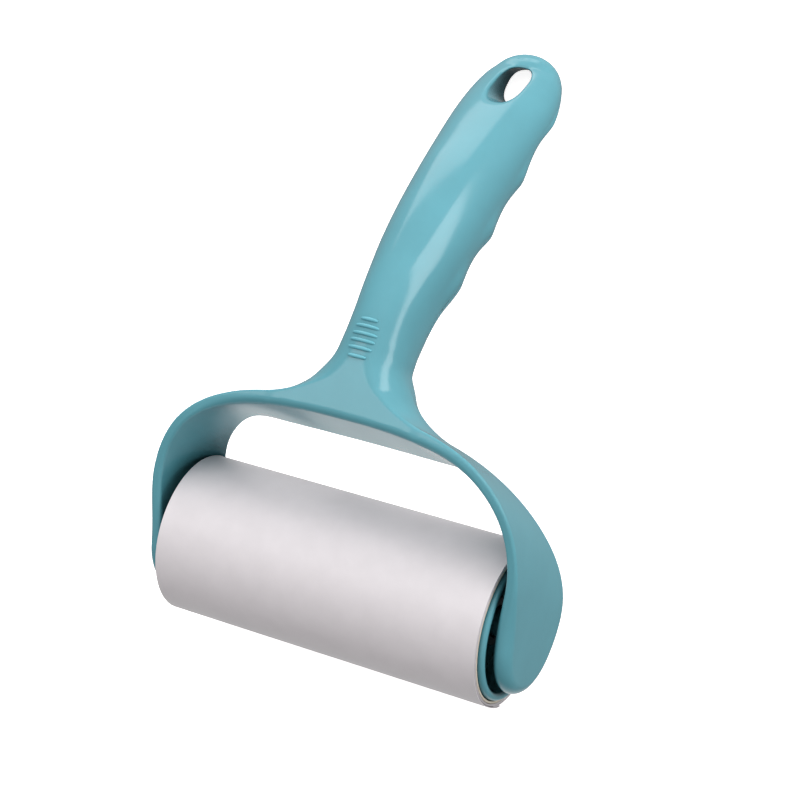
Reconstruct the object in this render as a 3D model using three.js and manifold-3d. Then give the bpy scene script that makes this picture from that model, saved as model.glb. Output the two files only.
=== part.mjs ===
// Lint roller: a sticky paper roll on a hollow drum, turning between the arms of a plastic handle.
// Millimetres, +Z up, X along the roll and +Y toward the handle's end. The roll and the handle's
// end stand on z = 0.
import * as THREE from "three";
import Module from "manifold-3d";

const wasm = await Module();
wasm.setup();

const { degToRad, clamp } = THREE.MathUtils;

// Facets of every round piece of the roller, of the smaller rounds, and of the grip and its hole
const turnFacets = 64;
const smallFacets = 20;
const gripFacets = 24;
const cornerReach = 1 / Math.cos(Math.PI / turnFacets);

// Sticky roll
const rollLength = 100;
const rollRadius = 22.67;
const topSheetThickness = 0.27;
const woundThickness = 0.5;
const coreWall = 0.6;
const paperGap = 0.2;
const freeEdgeLift = 0.5;
const freeEdgeAngle = degToRad(190);
const liftAngle = degToRad(22);
const lapAngle = degToRad(6);
const topSheetInner = rollRadius - topSheetThickness;
const woundOuter = topSheetInner - paperGap;
const woundInner = woundOuter - woundThickness;
const coreOuter = woundInner - paperGap;
const coreInner = coreOuter - coreWall;

// Drum and its end caps
const fitGap = 0.3;
const drumRadius = coreInner - fitGap;
const drumWall = 1.6;
const capWall = 1.7;
const rimProud = 1.5;
const recessDepth = 10.3;
const floorThickness = 3.7;
const skirtLength = 6;
const skirtWall = 1.6;
const stubRadius = 4;
const hubWall = 2.5;
const hubProud = 4.3;
const hubTail = 3;
const rimOuter = rollLength / 2 + rimProud;
const floorFront = rimOuter - recessDepth;
const floorBack = floorFront - floorThickness;
const shoulder = floorFront - capWall;
const drumInner = drumRadius - drumWall;
const boreRadius = stubRadius + fitGap;

// Arms and bridge
const endPlay = 2.5;
const armWall = 3;
const paddleRadius = 17.6;
const paddleBelow = 17.2;
const paddleDrop = 0.9;
const frontTilt = degToRad(25);
const rearTilt = degToRad(53.9);
const rearBend = 18;
const archStart = 3.96;
const windowDepth = 17.4;
const bridgeWall = 3.9;
const topRise = 35;
const topSoftening = 4;
const armDepth = 10.5;
const neckDepth = 23.2;
const neckCore = 6;
const neckSpread = 26;
const bridgeLean = 3.6;
const leanSpread = 30;
const leanPower = 5.5;
const edgeRound = 1;
const footFirstTurn = degToRad(5.2);
const longestRoundShare = 0.45;
const innerArchPower = 2.8;
const outerArchPower = 2.6;
const armInner = rimOuter + endPlay;
const armOuter = armInner + armWall;
const bridgeInner = rollRadius + windowDepth;
const bridgeOuter = bridgeInner + bridgeWall;
const topHeight = rollRadius + topRise;
const paddleHeight = rollRadius - paddleDrop;
const stubLength = armInner - floorBack + hubTail;
const stubRoot = 1.6;
const stubChamfer = 0.8;

// Handle's outside
const handleReach = 118.7;
const neckBelowTop = 11;
const gripHalfWidth = 14;
const gripOver = 12.4;
const gripUnder = 13.2;
const tailUnderShare = 0.212;
const flareSlimShare = 1;
const neckHalfWidth = 10.6;
const flareLength = 14.5;
const uprightLength = 21.75;
const slopeStepShare = 0.0025;
const rootShare = 0.4;
const overPower = 2.2;
const underPower = 2.7;
const handleStart = bridgeInner + bridgeWall * rootShare;
const handleTip = handleStart + handleReach;
const tailHeight = gripUnder * tailUnderShare;
const neckHeight = topHeight - neckBelowTop;

// Each row: along the handle, height of its middle, half width, depth over the middle and depth
// under it, as shares of the sizes above
const handleShares = [
  [0, 0.982, 1.51, 1.153, 0.788],
  [0.021, 0.984, 1.36, 1.129, 0.795],
  [0.046, 0.993, 1.2, 1.065, 0.826],
  [0.08, 1, 0.99, 0.968, 0.848],
  [0.122, 1, 0.757, 0.903, 0.833],
  [0.164, 0.982, 0.693, 0.927, 0.856],
  [0.215, 0.952, 0.679, 0.968, 0.909],
  [0.299, 0.893, 0.729, 0.992, 0.955],
  [0.391, 0.788, 0.836, 1, 1],
  [0.492, 0.665, 0.9, 0.984, 1],
  [0.593, 0.524, 0.943, 0.952, 0.955],
  [0.694, 0.374, 0.986, 0.887, 0.788],
  [0.779, 0.244, 1, 0.823, 0.545],
  [0.846, 0.125, 1.014, 0.742, 0.333],
  [0.905, 0.055, 0.936, 0.589, 0.227],
  [0.947, 0.018, 0.764, 0.444, tailUnderShare],
  [0.977, 0, 0.557, 0.315, tailUnderShare],
  [0.992, 0, 0.314, 0.21, 0.167],
  [1, 0, 0.057, 0.065, 0.061],
];

// Finger grooves and thumb ribs
const ridgeCount = 4;
const ridgePitch = 18;
const lastRidgeFromTip = 23.3;
const grooveDepth = 2.6;
const grooveFullness = 0.9;
const thumbRibPitch = 1.7;
const thumbRibStart = 14.7;
const thumbRibRadius = 0.45;
const thumbRibLengths = [5.4, 7.1, 7.5, 7.5, 7, 5.1];
const thumbRibEndShare = 0.2;
const thumbRibFullness = 0.4;

// Hanging hole through the handle's end
const holeFromTip = 11.5;
const holeHeight = 8.67;
const holeHalfLength = 4.9;
const holeFrontHalfWidth = 4;
const holeRearHalfWidth = 5.1;
const holeHalfDepth = 7.2;
const holePower = 2.6;
const holeLip = 1.2;
const holeTilt = degToRad(13);
const holeFrontSlope = degToRad(-52.8);
const holeRearSlope = degToRad(-27.6);

// Hollow grip, its cover, ribs and pegs
const gripWall = 2.4;
const coverStart = 28.5;
const coverEndFromTip = 24.5;
const seamShare = 0.47;
const seamGap = 0.3;
const crossRibs = 3;
const ribWall = 1.6;
const pegRadius = 1.4;
const pegRise = 4.4;
const pegBossWall = 1.5;
const overrun = 3;

// A closed solid from its points and triangles
function solidFrom(points, faces) {
  return new wasm.Manifold(new wasm.Mesh({
    numProp: 3,
    vertProperties: new Float32Array(points.flatMap((p) => [p.x, p.y, p.z])),
    triVerts: new Uint32Array(faces),
  }));
}

// A closed solid through rings with as many points each. Seen from the last ring, looking back to
// the first, every ring runs counterclockwise.
function loft(rings) {
  const count = rings[0].length;
  const last = (rings.length - 1) * count;
  const faces = [];
  for (let start = 0; start < last; start += count) {
    for (let i = 0; i < count; i++) {
      const a = start + i;
      const b = start + ((i + 1) % count);
      faces.push(a, b, b + count, a, b + count, a + count);
    }
  }
  for (let i = 1; i < count - 1; i++) {
    faces.push(0, i + 1, i);
    faces.push(last, last + i, last + i + 1);
  }
  return solidFrom(rings.flat(), faces);
}

function range(count, at) {
  return Array.from({ length: count }, (_, i) => at(i));
}

function between(start, end, count) {
  return range(count, (i) => start + ((end - start) * i) / (count - 1));
}

// Smooth curve through the stations of a table: the value of one column at a share of the length
function columnAt(rows, column, share) {
  const s = clamp(share, rows[0][0], rows.at(-1)[0]);
  const i = clamp(rows.findLastIndex((row) => row[0] <= s), 0, rows.length - 2);
  const step = (k) => rows[k + 1][0] - rows[k][0];
  const slope = (k) => (rows[k + 1][column] - rows[k][column]) / step(k);
  const tangent = (k) => {
    if (k === 0) return slope(0);
    if (k === rows.length - 1) return slope(k - 1);
    return (slope(k) * step(k - 1) + slope(k - 1) * step(k)) / (step(k) + step(k - 1));
  };
  const t = (s - rows[i][0]) / step(i);
  const from = rows[i][column] * (2 * t ** 3 - 3 * t ** 2 + 1);
  const to = rows[i + 1][column] * (3 * t ** 2 - 2 * t ** 3);
  const leaving = tangent(i) * step(i) * (t ** 3 - 2 * t ** 2 + t);
  const arriving = tangent(i + 1) * step(i) * (t ** 3 - t ** 2);
  return from + to + leaving + arriving;
}

// Arch: two arms and the bridge

// The lower of two heights, with the corner between them rounded
function softMin(a, b, width) {
  const h = clamp(0.5 + (b - a) / (2 * width), 0, 1);
  return b + (a - b) * h - width * h * (1 - h);
}

function frontHeight(y) {
  if (y < -paddleRadius * Math.sin(frontTilt)) {
    return paddleHeight + Math.sqrt(Math.max(paddleRadius ** 2 - y ** 2, 0));
  }
  const line = paddleHeight + paddleRadius / Math.cos(frontTilt) + y * Math.tan(frontTilt);
  return softMin(line, topHeight, topSoftening);
}

// The rear side bends up from under the paddle along a parabola, and then runs straight
function rearHeight(y, x) {
  if (y < 0) {
    return paddleHeight - paddleBelow * Math.sqrt(Math.max(1 - (y / paddleRadius) ** 2, 0));
  }
  const bent = Math.min(y, rearBend * Math.tan(rearTilt));
  const rise = bent ** 2 / (2 * rearBend) + (y - bent) * Math.tan(rearTilt);
  const spread = clamp((Math.abs(x) - neckCore) / neckSpread, 0, 1);
  const neckShare = 0.5 + 0.5 * Math.cos(Math.PI * spread);
  const depth = armDepth + (neckDepth - armDepth) * neckShare;
  return Math.min(paddleHeight - paddleBelow + rise, frontHeight(y) - depth);
}

// Places round the arch, as pairs of an outer and an inner point seen from above
function archStations() {
  const footTurns = between(footFirstTurn, Math.PI / 2, 9);
  const feet = footTurns.map((turn) => -paddleRadius * Math.cos(turn));
  const foot = feet.map((y) => {
    const inset = Math.max(edgeRound - (y + paddleRadius), 0);
    const pull = edgeRound - Math.sqrt(edgeRound ** 2 - inset ** 2);
    return { y, outer: armOuter - pull, inner: armInner + pull };
  });
  const archTurns = between(-Math.PI / 2, Math.PI / 2, 45);
  const arch = archTurns.map((turn) => {
    const across = Math.sin(turn);
    const along = Math.max(Math.cos(turn), 0);
    const reach = (start, end, power) => start + (end - start) * along ** (2 / power);
    const span = (half, power) => half * Math.sign(across) * Math.abs(across) ** (2 / power);
    return {
      outer: [span(armOuter, outerArchPower), reach(archStart, bridgeOuter, outerArchPower)],
      inner: [span(armInner, innerArchPower), reach(archStart, bridgeInner, innerArchPower)],
    };
  });
  const arm = (side) => foot.map(({ y, outer, inner }) => ({
    outer: [side * outer, y],
    inner: [side * inner, y],
  }));
  return [...arm(-1), ...arch, ...arm(1).reverse()];
}

// The corners of one section with their edges rounded
function roundedSection(corners, radius, steps) {
  return corners.flatMap((corner, i) => {
    const toward = (other) => {
      const side = other.clone().sub(corner);
      return corner.clone().addScaledVector(side, Math.min(radius / side.length(), longestRoundShare));
    };
    const start = toward(corners[(i + 3) % 4]);
    const end = toward(corners[(i + 1) % 4]);
    return new THREE.QuadraticBezierCurve3(start, corner, end).getPoints(steps);
  });
}

function archSection({ outer, inner }) {
  const [outerX, outerY] = outer;
  const [innerX, innerY] = inner;
  const rear = Math.min(rearHeight(outerY, outerX), rearHeight(innerY, innerX));
  const lean = bridgeLean * Math.exp(-(Math.abs(innerX / leanSpread) ** leanPower));
  const corners = [
    new THREE.Vector3(outerX, outerY, rear),
    new THREE.Vector3(outerX, outerY, frontHeight(outerY)),
    new THREE.Vector3(innerX, innerY, frontHeight(innerY)),
    new THREE.Vector3(innerX, innerY - lean, rear),
  ];
  return roundedSection(corners, edgeRound, 2);
}

// Stub that a roller's hub turns on, with a wider root at the arm and a chamfered end
function stub() {
  const rings = [
    [0, stubRadius + stubRoot],
    [stubRoot, stubRadius],
    [stubLength - stubChamfer, stubRadius],
    [stubLength, stubRadius - stubChamfer],
  ];
  const outward = rings.reverse().map(([out, radius]) => range(smallFacets, (i) => {
    const turn = (2 * Math.PI * i) / smallFacets;
    const height = rollRadius + radius * Math.sin(turn);
    return new THREE.Vector3(armInner - out, radius * Math.cos(turn), height);
  }));
  const root = outward.at(-1).map((p) => new THREE.Vector3(armInner + armWall / 2, p.y, p.z));
  return loft([...outward, root]);
}

// Handle

function handleAt(y) {
  const share = (y - handleStart) / handleReach;
  const column = (index) => columnAt(handleShares, index, share);
  return {
    height: tailHeight + (neckHeight - tailHeight) * column(1),
    halfWidth: gripHalfWidth * column(2),
    over: gripOver * column(3),
    under: gripUnder * column(4),
  };
}

// Slope of the handle's middle line, eased in from the neck so that the first sections stay upright
function slopeAt(y) {
  const step = handleReach * slopeStepShare;
  const rise = handleAt(y + step).height - handleAt(y - step).height;
  return Math.atan2(rise, 2 * step) * clamp((y - handleStart) / uprightLength, 0, 1);
}

// A point of the handle's own space: along its middle line, across it, and out of it
function onHandle(along, across, out) {
  const slope = slopeAt(along);
  const { height } = handleAt(along);
  return new THREE.Vector3(across, along - out * Math.sin(slope), height + out * Math.cos(slope));
}

// How deep the underside is scooped between the ridges, from 0 at a ridge to 1
function grooveShare(along) {
  const fromLast = (handleTip - lastRidgeFromTip - along) / ridgePitch;
  if (fromLast <= 0 || fromLast >= ridgeCount - 1) return 0;
  return Math.sin(Math.PI * (fromLast % 1)) ** grooveFullness;
}

function handleSection(along, inset) {
  const { halfWidth, over, under } = handleAt(along);
  const slim = clamp((handleStart + flareLength - along) / flareLength, 0, 1) * flareSlimShare;
  return range(gripFacets, (i) => {
    const turn = (-2 * Math.PI * i) / gripFacets;
    const power = turn > -Math.PI ? underPower : overPower;
    const side = Math.sign(Math.cos(turn)) * Math.abs(Math.cos(turn)) ** (2 / power);
    const rise = Math.sign(Math.sin(turn)) * Math.abs(Math.sin(turn)) ** (2 / power);
    const slimmer = Math.max(-rise, 0) * slim * (halfWidth - neckHalfWidth);
    const scoop = grooveShare(along) * grooveDepth * (0.5 + 0.5 * Math.abs(rise));
    const depth = (rise > 0 ? over : under - scoop) - inset;
    return onHandle(along, (halfWidth - inset - slimmer) * side, depth * rise);
  });
}

function handleStations() {
  const roundStart = handleTip - gripHalfWidth;
  const body = between(handleStart, roundStart, 30);
  const round = between(0, Math.PI / 2, 8).slice(1);
  return [...body, ...round.map((turn) => roundStart + gripHalfWidth * Math.sin(turn))];
}

// A block in the handle's own space, whose low and high sides follow it
function handleBlock(start, end, halfWidth, low, high, steps) {
  return loft(between(start, end, steps).map((along) => [
    onHandle(along, -halfWidth, low(along)),
    onHandle(along, -halfWidth, high(along)),
    onHandle(along, halfWidth, high(along)),
    onHandle(along, halfWidth, low(along)),
  ]));
}

// A round post in the handle's own space, standing out of its middle line
function handlePost(along, radius, low, high) {
  return loft([low, high].map((out) => range(smallFacets, (i) => {
    const turn = (2 * Math.PI * i) / smallFacets;
    return onHandle(along, radius * Math.cos(turn), out)
      .add(new THREE.Vector3(0, Math.cos(slopeAt(along)), Math.sin(slopeAt(along)))
        .multiplyScalar(radius * Math.sin(turn)));
  })));
}

// A low rib across the handle's top, sitting on its skin or on the flat that cuts it
function thumbRib(index) {
  const along = handleStart + thumbRibStart + index * thumbRibPitch;
  const half = thumbRibLengths[index] / 2;
  const { halfWidth, over } = handleAt(along);
  return loft(between(-Math.PI / 2, Math.PI / 2, 7).map((turn) => {
    const across = half * Math.sin(turn);
    const out = over * (1 - (Math.abs(across) / halfWidth) ** overPower) ** (1 / overPower);
    const seat = onHandle(along, across, out);
    const radius = thumbRibRadius * Math.max(Math.cos(turn), thumbRibEndShare) ** thumbRibFullness;
    return range(6, (i) => {
      const round = (2 * Math.PI * i) / 6;
      const height = Math.min(seat.z, topHeight) + radius * Math.sin(round);
      return new THREE.Vector3(seat.x, seat.y + radius * Math.cos(round), height);
    });
  }));
}

// A point of an oval between an ellipse and a rectangle, at a turn from its middle
function ovalPoint(turn, halfWidth, halfLength, power) {
  const share = (value) => Math.sign(value) * Math.abs(value) ** (2 / power);
  return [halfWidth * share(Math.cos(turn)), halfLength * share(Math.sin(turn))];
}

// The hanging hole's cutter: a leaning oval whose two rims open out as a rounded lip
function holeCutter() {
  const axis = new THREE.Vector3(0, -Math.sin(holeTilt), Math.cos(holeTilt));
  const length = new THREE.Vector3(0, Math.cos(holeTilt), Math.sin(holeTilt));
  const centre = new THREE.Vector3(0, handleTip - holeFromTip, holeHeight);
  const lip = between(0, Math.PI / 2, 4).map((turn) => ({
    inward: holeLip * (1 - Math.sin(turn)),
    wider: holeLip * (1 - Math.cos(turn)),
  }));
  const rim = [...lip, { inward: -overrun, wider: holeLip }];
  const rear = rim.slice().reverse().map(({ inward, wider }) => ({
    depth: inward - holeHalfDepth,
    slope: holeRearSlope,
    halfWidth: holeRearHalfWidth + wider,
    halfLength: holeHalfLength + wider,
  }));
  const front = rim.map(({ inward, wider }) => ({
    depth: holeHalfDepth - inward,
    slope: holeFrontSlope,
    halfWidth: holeFrontHalfWidth + wider,
    halfLength: holeHalfLength + wider,
  }));
  return loft([...rear, ...front].map(({ depth, slope, halfWidth, halfLength }) => {
    return range(gripFacets, (i) => {
      const turn = (2 * Math.PI * i) / gripFacets;
      const [across, along] = ovalPoint(turn, halfWidth, halfLength, holePower);
      return centre.clone()
        .addScaledVector(length, along)
        .addScaledVector(axis, depth + along * Math.tan(slope))
        .setX(across);
    });
  }));
}

// The handle's moulding and the cover that closes its hollow grip
function handleSolids() {
  const arch = loft(archStations().map(archSection));
  const grip = loft(handleStations().map((along) => handleSection(along, 0)));
  const stubRight = stub();
  const shell = arch.add(grip)
    .trimByPlane([0, 0, -1], -topHeight)
    .add(stubRight)
    .add(stubRight.mirror([1, 0, 0]));

  const start = handleStart + coverStart;
  const end = handleTip - coverEndFromTip;
  const wide = gripHalfWidth + overrun;
  const seam = (along) => -seamShare * handleAt(along).under;
  const seat = (along) => seam(along) - seamGap;
  const below = () => -gripUnder - overrun;
  const above = () => gripOver;
  const opening = handleBlock(start, end, wide, below, seam, 13);
  const seated = handleBlock(start + seamGap, end - seamGap, wide, below, seat, 13);
  const hollow = loft(between(start + gripWall, end - gripWall, 19)
    .map((along) => handleSection(along, gripWall)));

  const ribPlaces = range(crossRibs, (i) => start + ((end - start) * (i + 1)) / (crossRibs + 1));
  const posts = (radius, low, high) =>
    ribPlaces.map((along) => handlePost(along, radius, low(along), high(along)));
  const bossRadius = pegRadius + seamGap + pegBossWall;
  const pegFoot = (along) => gripWall / 2 - handleAt(along).under + grooveShare(along) * grooveDepth;
  const pegTop = (along) => seam(along) + pegRise;
  const spine = handleBlock(start, end, ribWall / 2, seam, above, 13);
  const webs = ribPlaces.map((along) =>
    handleBlock(along - ribWall / 2, along + ribWall / 2, wide, seam, above, 2));
  const bosses = posts(bossRadius, seam, above);
  const sockets = posts(pegRadius + seamGap, below, (along) => pegTop(along) + seamGap);
  const pegs = posts(pegRadius, pegFoot, pegTop);

  const stiffened = wasm.Manifold.union([spine, ...webs, ...bosses]);
  const cell = hollow.subtract(stiffened);
  const thumbRibs = thumbRibLengths.map((_, index) => thumbRib(index));
  const frame = wasm.Manifold.union([shell, ...thumbRibs])
    .subtract(opening)
    .subtract(cell)
    .subtract(wasm.Manifold.union(sockets))
    .subtract(holeCutter());
  const cover = grip.intersect(seated)
    .subtract(hollow)
    .add(wasm.Manifold.union(pegs));
  return { frame, cover };
}

function geometryOf(solid) {
  const mesh = solid.getMesh();
  const positions = new Float32Array(mesh.numVert * 3);
  for (let i = 0; i < mesh.numVert; i++) {
    positions.set(mesh.vertProperties.subarray(i * mesh.numProp, i * mesh.numProp + 3), i * 3);
  }
  return new THREE.BufferGeometry()
    .setAttribute("position", new THREE.BufferAttribute(positions, 3))
    .setIndex(new THREE.BufferAttribute(mesh.triVerts, 1));
}

// Roller

// A ring of section [radius, place along the axis] turned about the roll's axis. The radii are
// those of the facets' flats, so that the roll stands on one.
function turned(profile) {
  const points = profile.map(([radius, place]) => new THREE.Vector2(radius * cornerReach, place));
  return new THREE.LatheGeometry([...points, points[0].clone()], turnFacets, Math.PI / turnFacets);
}

function tube(inner, outer, length) {
  return turned([
    [inner, length / 2],
    [inner, -length / 2],
    [outer, -length / 2],
    [outer, length / 2],
  ]);
}

// End cap: a cup with a rounded rim, a shoulder against the drum, a skirt inside it and a hub
function endCap() {
  const skirtOuter = drumInner - fitGap;
  const skirtInner = skirtOuter - skirtWall;
  const hubRadius = boreRadius + hubWall;
  const rimRound = capWall / 2;
  const rim = between(0, Math.PI, 6).map((turn) => [
    drumRadius - rimRound + rimRound * Math.cos(turn),
    rimOuter - rimRound + rimRound * Math.sin(turn),
  ]);
  return turned([
    [boreRadius, floorBack - hubTail],
    [hubRadius, floorBack - hubTail],
    [hubRadius, floorBack],
    [skirtInner, floorBack],
    [skirtInner, shoulder - skirtLength],
    [skirtOuter, shoulder - skirtLength],
    [skirtOuter, shoulder],
    [drumRadius, shoulder],
    ...rim,
    [drumRadius - capWall, floorFront],
    [hubRadius, floorFront],
    [hubRadius, floorFront + hubProud],
    [boreRadius, floorFront + hubProud],
  ]);
}

// The top sheet: one turn whose free edge laps over its start and stands off a little
function topSheet() {
  const facet = (2 * Math.PI) / turnFacets;
  const first = Math.ceil((freeEdgeAngle - lapAngle) / facet) * facet + facet / 2 - 2 * Math.PI;
  const turns = between(first, first + 2 * Math.PI + 2 * facet, turnFacets + 3);
  const lift = (turn) => {
    const share = clamp((turn - turns.at(-1) + liftAngle) / liftAngle, 0, 1);
    return (topSheetThickness + paperGap + freeEdgeLift) * share * share * (3 - 2 * share);
  };
  const point = (radius) => (turn) => new THREE.Vector2(
    (radius + lift(turn)) * cornerReach * Math.cos(turn),
    (radius + lift(turn)) * cornerReach * Math.sin(turn),
  );
  const outline = [...turns.map(point(rollRadius)), ...turns.slice().reverse().map(point(topSheetInner))];
  return new THREE.ExtrudeGeometry(new THREE.Shape(outline), { depth: rollLength, bevelEnabled: false });
}

// Finishes
const teal = new THREE.MeshStandardMaterial({ color: 0x5fa3ae, roughness: 0.3, metalness: 0 });
const tealInside = new THREE.MeshStandardMaterial({ color: 0x3f7f8c, roughness: 0.4, metalness: 0 });
const paper = new THREE.MeshStandardMaterial({ color: 0xdedce1, roughness: 0.35, metalness: 0 });
const board = new THREE.MeshStandardMaterial({ color: 0xb59a74, roughness: 0.9, metalness: 0 });

function named(name, geometry, material) {
  const mesh = new THREE.Mesh(geometry, material);
  mesh.name = name;
  return mesh;
}

const { frame, cover } = handleSolids();
const handle = new THREE.Group();
handle.add(named("handle_frame", geometryOf(frame), teal));
handle.add(named("grip_underside", geometryOf(cover), teal));

// The roller's pieces lie along the group's own Y axis, which is turned onto the roll's axis
const roller = new THREE.Group();
roller.position.z = rollRadius;
const alongRoll = new THREE.Group();
alongRoll.rotation.z = -Math.PI / 2;
alongRoll.add(named("drum", tube(drumInner, drumRadius, 2 * (shoulder - fitGap)), tealInside));
alongRoll.add(named("end_cap_right", endCap(), teal));
const leftCap = named("end_cap_left", endCap(), teal);
leftCap.rotation.z = Math.PI;
alongRoll.add(leftCap);
alongRoll.add(named("core_tube", tube(coreInner, coreOuter, rollLength), board));
alongRoll.add(named("sheet_roll", tube(woundInner, woundOuter, rollLength), paper));
roller.add(alongRoll);
const sheet = named("top_sheet", topSheet(), paper);
sheet.rotation.set(Math.PI / 2, Math.PI / 2, 0);
sheet.position.x = -rollLength / 2;
roller.add(sheet);

const group = new THREE.Group();
group.add(handle, roller);
export default group;
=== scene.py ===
"""Lint roller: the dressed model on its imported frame. Sizes inside the shape functions are in
millimetres, in the frame's own axes: X along the roll, +Y toward the handle's end, +Z up."""

import bpy
import numpy as np
from bpy.props import FloatProperty, FloatVectorProperty, IntProperty, PointerProperty
from mathutils import Matrix, Vector


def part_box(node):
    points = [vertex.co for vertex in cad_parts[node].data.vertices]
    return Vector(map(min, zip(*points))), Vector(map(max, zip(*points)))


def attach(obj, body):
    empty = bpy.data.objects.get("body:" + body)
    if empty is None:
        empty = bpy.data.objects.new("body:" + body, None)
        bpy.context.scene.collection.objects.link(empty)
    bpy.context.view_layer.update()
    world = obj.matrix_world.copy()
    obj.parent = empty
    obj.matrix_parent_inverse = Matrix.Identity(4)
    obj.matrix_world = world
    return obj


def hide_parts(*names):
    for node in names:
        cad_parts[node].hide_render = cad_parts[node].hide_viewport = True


bl_info = {
    "name": "Lint roller",
    "version": (1, 0, 0),
    "blender": (4, 5, 0),
    "location": "3D View > Sidebar > Lint Roller",
    "description": "Builds the looks of a lint roller on its packed frame",
    "category": "Object",
}

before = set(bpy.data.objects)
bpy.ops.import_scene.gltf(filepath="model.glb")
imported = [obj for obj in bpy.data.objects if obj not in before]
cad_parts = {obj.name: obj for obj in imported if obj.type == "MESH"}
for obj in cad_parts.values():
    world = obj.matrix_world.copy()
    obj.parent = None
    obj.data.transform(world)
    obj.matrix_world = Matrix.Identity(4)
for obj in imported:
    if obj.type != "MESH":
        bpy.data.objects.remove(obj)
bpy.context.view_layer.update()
MM = 0.001

# Least values that keep a division sound
TINY = 1e-9
SMALL = 1e-3

# Sticky roll
ROLL_LENGTH = 100.0
ROLL_RADIUS = 22.67
SHEET_THICKNESS = 0.27
SHEET_PLACES = 271
SHEET_COLUMNS = 41
WOUND_THICKNESS = 0.5
WOUND_TURNS = 13
TURN_STAGGER = 0.06
CORE_WALL = 0.6
CORE_EDGE = 0.08
CORE_STEPS = 3
PAPER_GAP = 0.2
EDGE_LIFT = 0.15
EDGE_WAVES = ((0.06, 61, 0.7), (0.03, 23, 0))  # height, length and phase
SHEET_START = np.radians(188.4375)
SHEET_TURN = np.radians(371.25)
LIFT_ANGLE = np.radians(22)
SHEET_INNER = ROLL_RADIUS - SHEET_THICKNESS
WOUND_OUTER = SHEET_INNER - PAPER_GAP
WOUND_INNER = WOUND_OUTER - WOUND_THICKNESS
CORE_OUTER = WOUND_INNER - PAPER_GAP
CORE_INNER = CORE_OUTER - CORE_WALL

# Drum and end caps
FIT_GAP = 0.3
DRUM_RADIUS = CORE_INNER - FIT_GAP
DRUM_WALL = 1.6
DRUM_STEPS = 6
CAP_WALL = 1.7
RIM_WALL = 2.3
RIM_PROUD = 1.5
RIM_STEPS = 13
CAP_STEPS = 5
RECESS_DEPTH = 10.3
FLOOR_THICKNESS = 3.7
SKIRT_LENGTH = 6.0
SKIRT_WALL = 1.6
STUB_RADIUS = 4.0
HUB_WALL = 2.5
HUB_PROUD = 4.3
HUB_TAIL = 3.0
RIM_OUTER = ROLL_LENGTH / 2 + RIM_PROUD
FLOOR_FRONT = RIM_OUTER - RECESS_DEPTH
FLOOR_BACK = FLOOR_FRONT - FLOOR_THICKNESS
SHOULDER = FLOOR_FRONT - CAP_WALL
DRUM_INNER = DRUM_RADIUS - DRUM_WALL
BORE_RADIUS = STUB_RADIUS + FIT_GAP

# Arms and bridge
END_PLAY = 2.5
ARM_WALL = 3.0
ARM_INNER = RIM_OUTER + END_PLAY
ARM_OUTER = ARM_INNER + ARM_WALL
PADDLE_RADIUS = 17.6
PADDLE_HEIGHT = ROLL_RADIUS - 0.9
PADDLE_BELOW = 17.2
FRONT_TILT = np.radians(25)
REAR_TILT = np.radians(53.9)
REAR_BEND = 18.0
ARCH_START = 3.96
BRIDGE_INNER = ROLL_RADIUS + 17.4
BRIDGE_WALL = 3.9
BRIDGE_OUTER = BRIDGE_INNER + BRIDGE_WALL
TOP_HEIGHT = ROLL_RADIUS + 35.0
TOP_SOFTENING = 4.0
ARM_DEPTH = 10.5
NECK_DEPTH = 23.2
NECK_CORE = 6.0
NECK_SPREAD = 26.0
REAR_SOFTENING = 3.0
BRIDGE_LEAN = 3.6
LEAN_SPREAD = 30.0
LEAN_POWER = 5.5
INNER_POWER = 2.8
OUTER_POWER = 2.6
PADDLE_LOW = -6.0
PADDLE_HIGH = 14.0
ARM_HIGH = 30.0
BRIDGE_FADE = 8.0
STUB_END = FLOOR_BACK - HUB_TAIL
STUB_ROOT = 1.6
STUB_CHAMFER = 0.8

# Handle
HANDLE_REACH = 118.7
ROOT_SHARE = 0.4
HANDLE_START = BRIDGE_INNER + BRIDGE_WALL * ROOT_SHARE
HANDLE_TIP = HANDLE_START + HANDLE_REACH
GRIP_HALF_WIDTH = 14.0
GRIP_OVER = 12.4
GRIP_UNDER = 13.2
TAIL_SHARE = 0.212
TAIL_HEIGHT = GRIP_UNDER * TAIL_SHARE
NECK_HEIGHT = TOP_HEIGHT - 11.0
FLARE_SLIM = 1.0
NECK_HALF_WIDTH = 10.6
FLARE_LENGTH = 14.5
UPRIGHT_LENGTH = 21.75
OVER_POWER = 2.2
UNDER_POWER = 2.7
LEAST_SIZE = 0.3
LEAST_PACE = 0.3
LINE_STEPS = 6
TABLE_PLACES = 1201
# Along the handle, height of the middle line, half width, depth over it and depth under it
HANDLE_SHARES = np.array([
    (0, 0.982, 1.51, 1.153, 0.788),
    (0.021, 0.984, 1.36, 1.129, 0.795),
    (0.046, 0.993, 1.2, 1.065, 0.826),
    (0.08, 1, 0.99, 0.968, 0.848),
    (0.122, 1, 0.757, 0.903, 0.833),
    (0.164, 0.982, 0.693, 0.927, 0.856),
    (0.215, 0.952, 0.679, 0.968, 0.909),
    (0.299, 0.893, 0.729, 0.992, 0.955),
    (0.391, 0.788, 0.836, 1, 1),
    (0.492, 0.665, 0.9, 0.984, 1),
    (0.593, 0.524, 0.943, 0.952, 0.955),
    (0.694, 0.374, 0.986, 0.862, 0.788),
    (0.779, 0.244, 1.008, 0.773, 0.545),
    (0.846, 0.125, 1.01, 0.7, 0.333),
    (0.905, 0.043, 0.93, 0.565, 0.215),
    (0.947, 0.004, 0.775, 0.44, 0.19),
    (0.977, 0, 0.56, 0.34, 0.17),
    (0.992, 0, 0.345, 0.21, 0.12),
    (1, 0, 0.02, 0.02, 0.02),
])

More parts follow.
